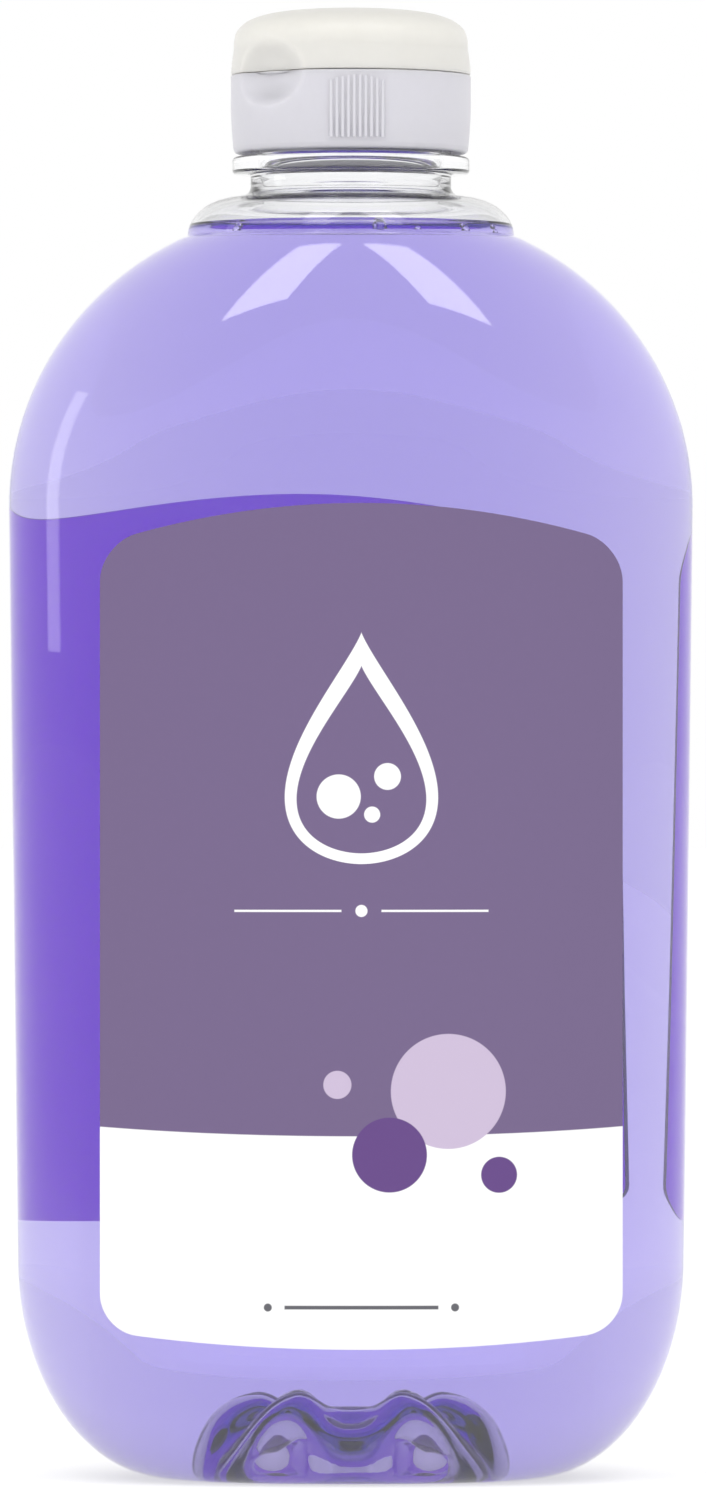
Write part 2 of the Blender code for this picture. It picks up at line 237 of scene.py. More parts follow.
class Finish(Kit):
    """A material with one Principled shader."""

    def __init__(self, name, **constants):
        self.material = bpy.data.materials.new(name)
        self.material.use_nodes = True
        super().__init__(self.material.node_tree)
        self.shader = self.tree.nodes["Principled BSDF"]
        self.output = self.tree.nodes["Material Output"]
        for key, value in constants.items():
            self.feed(self.shader.inputs[key.replace("_", " ")], value)

    def place(self):
        """Object coordinates, as three numbers and the vector."""
        vector = self.node("ShaderNodeTexCoord").outputs["Object"]
        parts = self.node("ShaderNodeSeparateXYZ", inputs={"Vector": vector})
        return [Value(self, parts.outputs[i]) for i in range(3)], vector

    def noise(self, scale, detail=2.0, stretch=None):
        vector = self.place()[1]
        if stretch:
            vector = self.node("ShaderNodeMapping", inputs={"Vector": vector, "Scale": stretch}).outputs[0]
        settings = {"noise_dimensions": "3D"}
        return self.value("ShaderNodeTexNoise", settings,
                          {"Vector": vector, "Scale": scale, "Detail": detail})

    def mix(self, amount, low, high):
        """Between two colours, each a colour or a socket."""
        made = self.node("ShaderNodeMix", {"data_type": "RGBA"}, {"Factor": amount})
        for index, value in ((6, low), (7, high)):
            self.feed(made.inputs[index], (*value, 1.0) if isinstance(value, tuple) else value)
        return made.outputs[2]

    def bump(self, height, strength, distance):
        made = self.node("ShaderNodeBump", inputs={"Height": height, "Strength": strength,
                                                   "Distance": distance})
        self.feed(self.shader.inputs["Normal"], made.outputs[0])


# ---------------------------------------------------------------- mesh building
def skin(rings, closed=False):
    """A bmesh through rings of points; closed joins the last ring to the first."""
    shape = bmesh.new()
    loops = [[shape.verts.new(point) for point in ring] for ring in rings]
    pairs = list(zip(loops, loops[1:]))
    if closed:
        pairs.append((loops[-1], loops[0]))
    else:
        shape.faces.new(loops[0][::-1])
        shape.faces.new(loops[-1])
    for lower, upper in pairs:
        count = len(lower)
        for j in range(count):
            k = (j + 1) % count
            shape.faces.new((lower[j], lower[k], upper[k], upper[j]))
    bmesh.ops.recalc_face_normals(shape, faces=shape.faces)
    return shape


def piece(name, shape, *materials, sharp=35.0):
    mesh = bpy.data.meshes.new(name)
    shape.to_mesh(mesh)
    shape.free()
    for material in materials:
        mesh.materials.append(material)
    mesh.shade_smooth()
    mesh.set_sharp_from_angle(angle=math.radians(sharp))
    made = bpy.data.objects.new(name, mesh)
    bpy.context.scene.collection.objects.link(made)
    return made


def fit(made, body, slot, *nodes):
    """The piece rides on its body in place of the CAD nodes it stands for."""
    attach(made, body)
    if nodes:
        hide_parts(*nodes)


def oval(half_width, half_depth, power, z, segments):
    ring = []
    for j in range(segments):
        turn = math.tau * j / segments
        cos, sin = math.cos(turn), math.sin(turn)
        x = half_width * math.copysign(abs(cos) ** (2 / power), cos)
        y = half_depth * math.copysign(abs(sin) ** (2 / power), sin)
        ring.append(Vector((x, y, z)))
    return ring


def circle(radius, z, segments):
    return oval(radius, radius, 2, z, segments)


def inset(rings, distance):
    """The same rings moved inwards along the surface's normals."""
    moved = []
    for i, ring in enumerate(rings):
        below, above = rings[max(i - 1, 0)], rings[min(i + 1, len(rings) - 1)]
        points = []
        for j, point in enumerate(ring):
            around = ring[(j + 1) % len(ring)] - ring[j - 1]
            normal = around.cross(above[j] - below[j]).normalized()
            points.append(point - normal * distance)
        moved.append(points)
    return moved


def arc(centre, radius, first, last, steps):
    """Points of a (radius, height) profile along an arc, in degrees."""
    points = []
    for i in range(steps + 1):
        turn = math.radians(first + (last - first) * i / steps)
        points.append((centre[0] + radius * math.cos(turn), centre[1] + radius * math.sin(turn)))
    return points


def blend(value, low, high):
    """0 below low, 1 above high, and a smooth rise between."""
    part = min(max((value - low) / (high - low), 0.0), 1.0)
    return part * part * (3 - 2 * part)


def softer_min(first, second, radius):
    """The smaller of two lengths, rounded over where they cross."""
    close = max(radius - abs(first - second), 0.0) / radius
    return min(first, second) - close * close * radius / 4


# ---------------------------------------------------------------- bottle outline
def quarter(part):
    """How far a quarter ellipse has come in, from 0 to 1, at a part of its height."""
    return 1 - math.sqrt(max(0.0, 1 - min(part, 1.0) ** 2))


class Outline:
    """The blown body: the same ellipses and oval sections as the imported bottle."""

    CORNER_WIDTH = 22.9 * MM
    CORNER_WIDTH_HEIGHT = 33.0 * MM
    CORNER_DEPTH = 12.5 * MM
    CORNER_DEPTH_HEIGHT = 17.0 * MM
    STANDING_RING = 3.6 * MM
    SHOULDER_RUN = 46.4 * MM
    SHOULDER_RISE = 45.2 * MM
    FRONT_SHOULDER_RISE = 32.0 * MM

    def __init__(self, sizes):
        self.sizes = sizes

    def half_width(self, z):
        s = self.sizes
        up = (z - self.CORNER_WIDTH_HEIGHT) / (s.shoulder_z - self.CORNER_WIDTH_HEIGHT)
        width = s.half_width - s.foot_draw * (1 - min(max(up, 0.0), 1.0))
        if z < self.CORNER_WIDTH_HEIGHT:
            width -= self.CORNER_WIDTH * quarter(1 - z / self.CORNER_WIDTH_HEIGHT)
        if z > s.shoulder_z:
            width -= self.SHOULDER_RUN * quarter((z - s.shoulder_z) / self.SHOULDER_RISE)
        return width

    def half_depth(self, z):
        s = self.sizes
        depth = s.half_depth
        if z < self.CORNER_DEPTH_HEIGHT:
            depth -= self.CORNER_DEPTH * quarter(1 - z / self.CORNER_DEPTH_HEIGHT)
        if z > s.front_shoulder_z:
            whole = quarter((s.shoulder_top_z - s.front_shoulder_z) / self.FRONT_SHOULDER_RISE)
            run = (s.half_depth - s.shoulder_top_radius) / whole
            depth -= run * quarter((z - s.front_shoulder_z) / self.FRONT_SHOULDER_RISE)
        return depth

    def power(self, z):
        s = self.sizes
        up = min(max((z - s.shoulder_z) / (s.shoulder_top_z - s.shoulder_z), 0.0), 1.0)
        return s.squareness + (2 - s.squareness) * up * up

    def ring(self, z):
        return oval(self.half_width(z), self.half_depth(z), self.power(z), z, self.sizes.segments)

    def wall_y(self, x, z):
        """How far the wall stands from the middle at x and z, on the front or the back."""
        part = min(abs(x) / self.half_width(z), 1.0)
        power = self.power(z)
        return self.half_depth(z) * (1 - part ** power) ** (1 / power)

    def base(self):
        """From the pushed-up middle out to the standing ring, with petals between."""
        s = self.sizes
        half_width = self.half_width(0) - self.STANDING_RING
        half_depth = self.half_depth(0) - self.STANDING_RING
        rings = []
        steps = 34
        for i in range(1, steps + 1):
            part = i / steps
            flat = oval(half_width * part, half_depth * part, s.squareness, 0, s.segments)
            ring = []
            for j, point in enumerate(flat):
                turn = math.tau * j / s.segments
                rise = s.push_up * (1 - part ** 7)
                step = 1.6 * MM * (1 - blend(part, 0.2, 0.28))
                petals = 1.7 * MM * math.cos(6 * turn) * blend(part, 0.3, 0.55)
                petals *= 1 - blend(part, 0.78, 1.0)
                ring.append(Vector((point.x, point.y, max(rise - step + petals, 0.0))))
            rings.append(ring)
        return rings

    def body(self):
        s = self.sizes
        heights = [self.CORNER_WIDTH_HEIGHT * (1 - math.cos(math.radians(90 * i / 40)))
                   for i in range(41)]
        straight = [self.CORNER_WIDTH_HEIGHT + (s.shoulder_z - self.CORNER_WIDTH_HEIGHT) * i / 12
                    for i in range(1, 13)]
        rise = s.shoulder_top_z - s.shoulder_z
        shoulder = [s.shoulder_z + rise * math.sin(math.pi / 2 * i / 48) for i in range(1, 49)]
        return [self.ring(z) for z in heights + straight + shoulder]

    def collar(self):
        s = self.sizes
        low, high = s.shoulder_top_z + 0.5 * MM, 194.8 * MM
        top_radius = 17.2 * MM
        rings = [circle(s.collar_radius + 0.35 * MM, low - 0.25 * MM, s.segments)]
        steps = 18
        for i in range(steps + 1):
            turn = math.pi / 2 * i / steps
            radius = top_radius + (s.collar_radius - top_radius) * math.cos(turn)
            rings.append(circle(radius, low + (high - low) * math.sin(turn), s.segments))
        return rings


# ---------------------------------------------------------------- thread
THREAD_PITCH = 4.2 * MM
THREAD_Z = 204.3 * MM
THREAD_DEPTH = 1.1 * MM
CAP_THREAD_DROP = 1.7 * MM


def thread_height(turn, z, first_z, first_turn):
    """How far a one-turn helical ridge stands out at an angle and a height."""
    best = 0.0
    for lap in (0, 1):
        turns = turn / math.tau + lap
        along = turns - first_turn
        if not 0 <= along <= 1:
            continue
        away = abs(z - first_z - THREAD_PITCH * turns)
        fade = blend(min(along, 1 - along), 0.0, 0.08)
        best = max(best, fade * (1 - blend(away, 0.45 * MM, 1.0 * MM)))
    return best


NECK_FOOT_Z = 196.4 * MM
RING_HEIGHT = 2.5 * MM
LIP_EDGE = 0.5 * MM  # rounding of the lip and of the support ring


def neck_profile(sizes):
    """Radius and height from the neck's foot, over the support ring, to the thread."""
    neck, edge, ring_z, reach = sizes.neck_radius, LIP_EDGE, sizes.ring_z, sizes.ring_radius
    ring_top = ring_z + RING_HEIGHT
    fillet = 1.3 * MM
    points = arc((neck + fillet, NECK_FOOT_Z), fillet, 250, 180, 5)
    points += [(neck, ring_z - edge)]
    points += arc((neck + edge, ring_z - edge), edge, 180, 90, 3)
    points += arc((reach - edge, ring_z + edge), edge, -90, 0, 4)
    points += arc((reach - edge, ring_top - edge), edge, 0, 90, 4)
    points += [(neck + 0.3 * MM, ring_top), (neck, ring_top + 0.3 * MM)]
    return points


def neck_thread(sizes):
    """Rings of the neck's wall between the support ring and the lip, with the thread on them."""
    neck, count, rows = sizes.neck_radius, sizes.segments, 44
    low, high = sizes.ring_z + RING_HEIGHT + 0.5 * MM, BOTTLE_HIGH.z - LIP_EDGE
    rings = []
    for i in range(rows + 1):
        z = low + (high - low) * i / rows
        ring = circle(neck, z, count)
        for j, point in enumerate(ring):
            ridge = THREAD_DEPTH * thread_height(math.tau * j / count, z, THREAD_Z, 0.0)
            ring[j] = Vector((point.x, point.y, 0)) * (1 + ridge / neck) + Vector((0, 0, z))
        rings.append(ring)
    return rings


def bore_profile(sizes):
    """Over the lip, down the bore and out under the collar."""
    neck, bore, edge, lip = sizes.neck_radius, sizes.neck_bore, LIP_EDGE, BOTTLE_HIGH.z
    points = arc((neck - edge, lip - edge), edge, 20, 90, 3)
    points += arc((bore + edge, lip - edge), edge, 90, 180, 3)
    points += [(bore, 203.0 * MM), (bore, 199.0 * MM), (bore, 197.2 * MM)]
    points += [(bore + 0.15 * MM, 196.2 * MM), (bore + 0.6 * MM, 195.2 * MM)]
    points += [(bore + 1.4 * MM, 194.5 * MM)]
    return points


def bottle_rings(sizes):
    """The blown body and, apart from it, the neck's outside and bore."""
    outline = Outline(sizes)
    body = outline.base() + outline.body() + outline.collar()
    finish = [circle(radius, z, sizes.segments) for radius, z in neck_profile(sizes)]
    finish += neck_thread(sizes)
    finish += [circle(radius, z, sizes.segments) for radius, z in bore_profile(sizes)]
    return body, finish


class REFILL_OT_bottle(bpy.types.Operator):
    """Blown bottle with its neck, collar, support ring, thread and pushed-up base"""
    bl_idname = "refill.bottle"
    bl_label = "Bottle"

    def execute(self, context):
        sizes = context.scene.refill_bottle
        body, finish = bottle_rings(sizes)
        shape = skin(body + finish + inset(body, sizes.wall)[::-1])
        made = piece("clear_bottle", shape, clear_plastic())
        fit(made, "bottle", "clear_plastic", "bottle")
        return {"FINISHED"}


def clear_plastic():
    finish = Finish("clear_plastic", Base_Color=(0.985, 0.988, 0.995, 1.0), IOR=1.5,
                    Transmission_Weight=1.0, Roughness=0.0)
    waves = finish.noise(22.0, 1.0, (1.0, 1.0, 0.45))
    finish.bump(waves, 0.12, 0.0012)
    return finish.material


# ---------------------------------------------------------------- soap
class REFILL_OT_soap(bpy.types.Operator):
    """Liquid up to the collar, with a curved edge and a few bubbles"""
    bl_idname = "refill.soap"
    bl_label = "Soap"

    OVERLAP = 0.06 * MM  # how far the soap reaches into the wall
    LEVEL_DROP = 0.2 * MM
    EDGE_RISE = 1.8 * MM  # the soap climbs the wall at its edge
    EDGE_REACH = 2.6 * MM
    EDGE_FALL = 1.1 * MM
    BUBBLES = ((-16.8, 0.75), (4.3, 1.1), (9.9, 0.55), (16.9, 0.75), (21.2, 0.6))

    def execute(self, context):
        sizes, soap = context.scene.refill_bottle, context.scene.refill_soap
        outline = Outline(sizes)
        body = outline.base() + outline.body()
        rings = inset(body + outline.collar(), sizes.wall - self.OVERLAP)[:len(body) + 1]
        level = SOAP_HIGH.z - self.LEVEL_DROP
        wall = sizes.collar_radius - sizes.wall + 0.05 * MM
        profile = [(wall, level), (wall, level + self.EDGE_RISE)]
        for i in range(1, 13):
            inward = self.EDGE_REACH * i / 12
            profile.append((wall - inward, level + self.EDGE_RISE * math.exp(-inward / self.EDGE_FALL)))
        profile += [(wall * part, level) for part in (0.6, 0.3, 0.05)]
        rings += [circle(radius, z, sizes.segments) for radius, z in profile]
        made = piece("soap", skin(rings), liquid(soap))
        fit(made, "bottle", "violet_liquid", "soap_fill")
        self.make_bubbles(wall, level, soap.bubbles)
        return {"FINISHED"}

    def make_bubbles(self, wall, level, count):
        """Against the front of the collar, each with its place across and its radius."""
        shape = bmesh.new()
        for x, size in self.BUBBLES[:count]:
            radius = size * MM
            reach = wall - radius - 0.1 * MM
            y = -math.sqrt(reach ** 2 - (x * MM) ** 2)
            place = Matrix.Translation((x * MM, y, level + radius * 0.2))
            bmesh.ops.create_icosphere(shape, subdivisions=3, radius=radius, matrix=place)
        finish = Finish("bubble_film", Base_Color=(0.97, 0.96, 1.0, 1.0), IOR=1.6,
                        Transmission_Weight=1.0, Roughness=0.0)
        made = piece("bubbles", shape, finish.material)
        fit(made, "bottle", "violet_liquid")


def liquid(soap):
    finish = Finish("violet_liquid", Base_Color=(1.0, 1.0, 1.0, 1.0), IOR=soap.index,
                    Transmission_Weight=1.0, Roughness=0.0)
    tint = finish.node("ShaderNodeVolumeAbsorption", inputs={"Color": (*soap.tint, 1.0),
                                                             "Density": soap.density})
    finish.feed(finish.output.inputs["Volume"], tint.outputs[0])
    return finish.material


# ---------------------------------------------------------------- labels
class REFILL_OT_labels(bpy.types.Operator):
    """Front and back labels of printed film, glued to the wall"""
    bl_idname = "refill.labels"
    bl_label = "Labels"

    GLUED = 0.2 * MM  # how far the glued side lies in the wall

    def execute(self, context):
        inner = glued_side(context.scene.refill_label)
        front = self.label("printed_front", -1, (FRONT_LOW, FRONT_HIGH), (6.1 * MM, 2.5 * MM),
                           front_print(context.scene.refill_label), inner)
        fit(front, "bottle", "front_print", "front_label")
        back = self.label("printed_back", 1, (BACK_LOW, BACK_HIGH), (8.0 * MM, 0.0),
                          back_print(context.scene.refill_label), inner)
        fit(back, "bottle", "back_print", "back_label")
        return {"FINISHED"}

    def label(self, name, side, box, bows, outer_finish, inner_finish):
        settings = bpy.context.scene.refill_label
        outline = Outline(bpy.context.scene.refill_bottle)
        low, high = box
        middle, half = (low.x + high.x) / 2, (high.x - low.x) / 2 - 0.1 * MM
        straight = half - settings.corner
        corner = [straight + settings.corner * math.sin(math.radians(6 * i)) for i in range(1, 16)]
        columns = [-x for x in reversed(corner)]
        columns += [straight * (i / 24 - 1) for i in range(49)] + corner
        front, back = [], []
        rows = 72
        for x in columns:
            bow = 1 - (x / half) ** 2
            past = max(0.0, abs(x) - straight)
            trim = settings.corner - math.sqrt(max(0.0, settings.corner ** 2 - past ** 2))
            top = high.z - bows[0] * (1 - bow) - trim
            bottom = low.z + bows[1] * (1 - bow) + trim
            heights = [bottom + (top - bottom) * i / rows for i in range(rows + 1)]
            front.append([self.on_wall(outline, middle + x, z, side, settings.thickness) for z in heights])
            back.append([self.on_wall(outline, middle + x, z, side, -self.GLUED) for z in heights])
        shape = skin([outer + inner[::-1] for outer, inner in zip(front, back)])
        made = piece(name, shape, outer_finish, inner_finish, sharp=50.0)
        for face in made.data.polygons:
            away = outline.wall_y(face.center.x, face.center.z) - abs(face.center.y)
            face.material_index = 1 if away > self.GLUED / 2 else 0
        return made

    def on_wall(self, outline, x, z, side, away):
        step = 0.4 * MM
        y = outline.wall_y(x, z)
        slope_x = (outline.wall_y(x + step, z) - outline.wall_y(x - step, z)) / (2 * step)
        slope_z = (outline.wall_y(x, z + step) - outline.wall_y(x, z - step)) / (2 * step)
        normal = Vector((-slope_x, 1.0, -slope_z)).normalized()
        point = Vector((x, y, z)) + normal * away
        return Vector((point.x, point.y * side, point.z))


SOFT_EDGE = 0.12 * MM  # of every printed shape


def inside(distance):
    """1 where a distance to an outline is negative, 0 outside it."""
    return (0.5 - distance / SOFT_EDGE).clamped()


def disc(x, z, centre_x, centre_z, radius):
    across, up = x - centre_x * MM, z - centre_z * MM
    return inside((across * across + up * up) ** 0.5 - radius * MM)


def drop(x, z, centre_x, centre_z, half_width, half_height):
    """A water drop: round below and drawn to a point above."""
    up = ((z - centre_z * MM) / (half_height * MM)).clamped(-1.0, 1.0)
    width = (1 - up * up) ** 0.5 * ((1 - up) * 0.5) ** 0.75
    return inside(abs(x - centre_x * MM) + SOFT_EDGE - width * (half_width * 1.32 * MM))


def bar(x, z, centre_x, centre_z, half_width, half_height):
    beside = abs(x - centre_x * MM) - half_width * MM
    above = abs(z - centre_z * MM) - half_height * MM
    return inside(beside.larger(above))


def front_print(settings):
    """Mauve over white, with a drop, a rule and a cluster of bubbles."""
    finish = Finish("front_print", Roughness=0.42, Specular_IOR_Level=0.35)
    (x, y, z), vector = finish.place()
    across = x - (FRONT_LOW.x + FRONT_HIGH.x) / 2
    border = across * across * (1.2 / 39 ** 2 / MM) + 52.8 * MM
    upper = ((z - border) / SOFT_EDGE + 0.5).clamped()
    mottle = finish.noise(900.0, 3.0)
    mauve = finish.mix((mottle - 0.5) * 0.5 + 0.5, tuple(c * 0.97 for c in settings.mauve),
                       tuple(c * 1.03 for c in settings.mauve))
    shade = finish.mix(upper, tuple(settings.white), mauve)
    white, lilac, violet = (tuple(c) for c in (settings.white, settings.lilac, settings.violet))
    shapes = [(drop(across, z, 0.0, 111.0, 12.5, 17.5), white),
              (drop(across, z, 0.0, 109.3, 10.6, 14.2), mauve),
              (disc(across, z, -3.4, 103.6, 3.3), white),
              (disc(across, z, 3.9, 106.6, 2.0), white),
              (disc(across, z, 1.6, 100.9, 1.2), white),
              (bar(across, z, -11.0, 86.5, 8.0, 0.16), white),
              (bar(across, z, 11.0, 86.5, 8.0, 0.16), white),
              (disc(across, z, 0.0, 86.5, 0.9), white),
              (disc(across, z, 13.0, 59.5, 8.6), lilac),
              (disc(across, z, 4.2, 50.0, 5.6), violet),
              (disc(across, z, 20.6, 47.0, 2.7), violet),
              (disc(across, z, -3.6, 60.5, 2.1), lilac),
              (bar(across, z, 0.0, 27.2, 11.5, 0.28), tuple(settings.grey)),
              (disc(across, z, -14.0, 27.2, 0.6), tuple(settings.grey)),
              (disc(across, z, 14.0, 27.2, 0.6), tuple(settings.grey))]
    for mask, ink in shapes:
        shade = finish.mix(mask, shade, ink)
    finish.feed(finish.shader.inputs["Base Color"], shade)
    finish.feed(finish.shader.inputs["Roughness"], 0.38 + mottle * 0.08)
    finish.bump(mottle, 0.05, 0.00008)
    return finish.material


def back_print(settings):
    """Plain mauve with a white field for small print, left bare."""
    finish = Finish("back_print", Roughness=0.42, Specular_IOR_Level=0.35)
    (x, y, z), vector = finish.place()
    across = x - (BACK_LOW.x + BACK_HIGH.x) / 2
    mottle = finish.noise(900.0, 3.0)
    panel = bar(across, z, 0.0, 84.0, 33.0, 38.0)
    shade = finish.mix(panel, tuple(settings.mauve), tuple(settings.white))
    for i in range(3):
        shade = finish.mix(bar(across, z, 0.0, 107.0 - 22.0 * i, 28.0, 0.12), shade, tuple(settings.mauve))
    shade = finish.mix(drop(across, z, 0.0, 132.5, 4.6, 6.4), shade, tuple(settings.white))
    finish.feed(finish.shader.inputs["Base Color"], shade)
    finish.feed(finish.shader.inputs["Roughness"], 0.38 + mottle * 0.08)
    finish.bump(mottle, 0.05, 0.00008)
    return finish.material


def glued_side(settings):
    # The emission is painted light: the glued side glows, though it is no lamp, in place of light passing
    # through the film
    finish = Finish("glued_side", Roughness=0.7, Specular_IOR_Level=0.1, Subsurface_Weight=1.0,
                    Subsurface_Radius=(1.0, 1.0, 1.0), Subsurface_Scale=0.0005,
                    Emission_Color=(*settings.painted_glow, 1.0), Emission_Strength=1.0)
    blotch = finish.noise(60.0, 2.0)
    low, high = (tuple(c * scale for c in settings.inner) for scale in (0.97, 1.03))
    finish.feed(finish.shader.inputs["Base Color"], finish.mix(blotch, low, high))
    return finish.material


# ---------------------------------------------------------------- cap and lid
HALF_GAP = 0.07 * MM  # from the parting plane to the cap's rim and to the lid's


class Recess:
    """The thumb recess and the hinge flat, as radii cut into a round wall."""

    FLAT_HEIGHT = 5.0 * MM  # the flat's reach below the parting plane
    BACKING = 1.0 * MM  # wall left behind the recess
    RECESS_EDGE = 0.25 * MM  # rounding of the recess's edge
    FLAT_EDGE = 0.15 * MM  # rounding of the flat's edge

    def __init__(self, settings):
        self.settings = settings

    def scoop(self, turn, z, grow=0.0):
        """Radius of the recess's ellipsoid, or None where it misses."""
        s = self.settings
        away = turn - RECESS_TURN
        cos, sin = math.cos(away), math.sin(away)
        if cos < 0.5:
            return None
        radial, across, up = (axis + grow for axis in (s.recess_radial, s.recess_across, s.recess_up))
        a = (cos / radial) ** 2 + (sin / across) ** 2
        b = s.recess_centre * cos / radial ** 2
        c = (s.recess_centre / radial) ** 2 + ((z - PARTING_Z) / up) ** 2 - 1
        inner = b * b - a * c
        return (b - math.sqrt(inner)) / a if inner > 0 else None

    def outside(self, turn, z, radius):
        cut = self.scoop(turn, z)
        if cut is not None:
            radius = softer_min(radius, cut, self.RECESS_EDGE)
        facing = math.cos(turn - RECESS_TURN - math.pi)
        if facing > 0.8 and z > PARTING_Z - self.FLAT_HEIGHT:
            radius = softer_min(radius, HINGE_DISTANCE / facing, self.FLAT_EDGE)
        return radius

    def behind(self, turn, z, radius):
        cut = self.scoop(turn, z, self.BACKING)
        return radius if cut is None else min(radius, cut)


def cap_ring(radius, z, segments, shaped=None):
    ring = []
    for j in range(segments):
        turn = math.tau * j / segments
        r = shaped(turn, z, radius) if shaped else radius
        ring.append(Vector((r * math.cos(turn), r * math.sin(turn), z)))
    return ring


class REFILL_OT_cap(bpy.types.Operator):
    """Screw cap: skirt with thread, deck, nozzle, and ribs for grip"""
    bl_idname = "refill.cap"
    bl_label = "Cap"

    FOOT_RADIUS = 17.85 * MM
    FLARE = 0.45 * MM  # how much wider the skirt is at its top
    FOOT_EDGE = 0.6 * MM
    BORE = 16.7 * MM
    DECK_TOP = 213.0 * MM
    DECK_UNDER = 211.5 * MM
    NOZZLE_RADIUS = 4.0 * MM
    NOZZLE_BORE = 2.6 * MM
    THREAD_DEPTH = 1.0 * MM
    THREAD_START = 0.06  # of a turn

    def execute(self, context):
        settings = context.scene.refill_cap
        count = settings.segments
        rings = [cap_ring(r, z, count, Recess(settings).outside) for r, z in self.skirt()]
        rings += [cap_ring(r, z, count) for r, z in self.deck()]
        rings += self.threaded_bore(count)
        # The skirt and its ribs take the white with painted shade and painted violet reflection
        made = piece("screw_cap", skin(rings, closed=True), white_plastic("cap_white", settings.cap_white))
        fit(made, "cap", "cap_plastic", "cap_base")
        ribs = rib_patches(settings, white_plastic("rib_white", settings.cap_white, 0.0))
        fit(ribs, "cap", "cap_plastic")
        return {"FINISHED"}

    def skirt(self):
        """From the skirt's foot up to the parting plane."""
        low, rim, edge, rows = CAP_LOW.z, PARTING_Z - HALF_GAP, self.FOOT_EDGE, 60
        points = arc((self.FOOT_RADIUS - edge, low + edge), edge, -90, 0, 5)
        for i in range(1, rows + 1):
            z = low + edge + (rim - 0.2 * MM - low - edge) * i / rows
            part = min((z - low) / (rim - low) * 1.6, 1.0)
            points.append((self.FOOT_RADIUS + self.FLARE * math.sin(math.pi / 2 * part), z))
        points += [(points[-1][0] - 0.06 * MM, rim - 0.06 * MM), (points[-1][0] - 0.2 * MM, rim)]
        return points

    def deck(self):
        """From the rim over the deck, up and down the nozzle, and back under the deck."""
        points = [(self.BORE + 0.2 * MM, PARTING_Z - HALF_GAP), (self.BORE, self.DECK_TOP)]
        points += arc((self.NOZZLE_RADIUS + 0.5 * MM, self.DECK_TOP + 0.5 * MM), 0.5 * MM, 270, 180, 4)
        points += arc((self.NOZZLE_RADIUS - 0.4 * MM, CAP_HIGH.z - 0.4 * MM), 0.4 * MM, 0, 90, 4)
        points += arc((self.NOZZLE_BORE + 0.2 * MM, CAP_HIGH.z - 0.2 * MM), 0.2 * MM, 90, 180, 3)
        points += [(self.NOZZLE_BORE, self.DECK_UNDER), (self.BORE - 1.1 * MM, self.DECK_UNDER)]
        return points

    def threaded_bore(self, count):
        """Rings down the inside of the skirt, with the thread standing into it."""
        first_z = THREAD_Z - CAP_THREAD_DROP

        def shaped(turn, z, radius):
            return radius - self.THREAD_DEPTH * thread_height(turn, z, first_z, self.THREAD_START)

        top, low, steps = self.DECK_UNDER - 1.9 * MM, CAP_LOW.z, 46
        heights = [top + (low + 0.4 * MM - top) * i / steps for i in range(steps + 1)]
        rings = [cap_ring(self.BORE, z, count, shaped) for z in heights]
        rings.append(cap_ring(self.BORE + 0.25 * MM, low, count))
        return rings


class REFILL_OT_lid(bpy.types.Operator):
    """Flip lid with its crown, thumb recess and plug"""
    bl_idname = "refill.lid"
    bl_label = "Lid"

    ROOM_RADIUS = 16.9 * MM
    PLUG_RADIUS = 2.2 * MM
    PLUG_EDGE = 0.5 * MM
    # The room inside, radius and height in millimetres, up to the crown and down the plug
    ROOM = ((16.85, 215.0), (16.6, 217.2), (16.1, 218.6), (15.2, 219.7), (13.6, 220.6),
            (10.0, 221.2), (3.4, 221.6), (2.6, 221.2), (2.2, 220.4))

    def execute(self, context):
        settings = context.scene.refill_cap
        count = settings.segments
        recess = Recess(settings)
        rim = PARTING_Z + HALF_GAP
        top = LID_HIGH.z
        wall = LID_HIGH.x
        crown = self.crown(wall, rim, top)
        rings = [cap_ring(r, z, count, recess.outside) for r, z in crown]
        room = [(self.ROOM_RADIUS, rim)] + [(r * MM, z * MM) for r, z in self.ROOM]
        rings += [cap_ring(r, z, count, recess.behind) for r, z in room]
        foot = LID_LOW.z + self.PLUG_EDGE
        tip = [(self.PLUG_RADIUS, foot)]
        tip += arc((self.PLUG_RADIUS - self.PLUG_EDGE, foot), self.PLUG_EDGE, -20, -85, 4)
        rings += [cap_ring(r, z, count) for r, z in tip]
        # The lid takes the white with painted light from above
        made = piece("flip_lid", skin(rings), white_plastic("lid_white", settings.lid_white))
        fit(made, "lid", "lid_plastic", "cap_lid")
        return {"FINISHED"}

    def crown(self, wall, rim, top):
        """From the middle of the crown down to the rim: a superellipse over a tapered wall."""
        reach, rise, power, steps = 17.85 * MM, 6.1 * MM, 3.2, 60
        points = []
        for i in range(1, steps + 1):
            turn = math.pi / 2 * i / steps
            points.append((reach * math.sin(turn) ** (2 / power),
                           top - rise * (1 - math.cos(turn) ** (2 / power))))
        start = points[-1]
        for i in range(1, 25):
            part = i / 24
            z = start[1] + (rim + 0.2 * MM - start[1]) * part
            points.append((start[0] + (wall - start[0]) * math.sin(math.pi / 2 * part), z))
        points += [(wall - 0.06 * MM, rim + 0.06 * MM), (wall - 0.2 * MM, rim)]
        return points


def white_plastic(name, base, depth=0.7):
    """Moulded polypropylene: satin, faintly mottled, and a little see-through."""
    finish = Finish(name, IOR=1.49, Subsurface_Weight=depth,
                    Subsurface_Radius=(1.0, 1.0, 0.95), Subsurface_Scale=0.004)
    grain = finish.noise(700.0, 3.0)
    low, high = (tuple(min(c * scale, 1.0) for c in base) for scale in (0.985, 1.015))
    finish.feed(finish.shader.inputs["Base Color"], finish.mix(grain, low, high))
    finish.feed(finish.shader.inputs["Roughness"], 0.32 + grain * 0.08)
    finish.bump(grain, 0.06, 0.0001)
    return finish.material


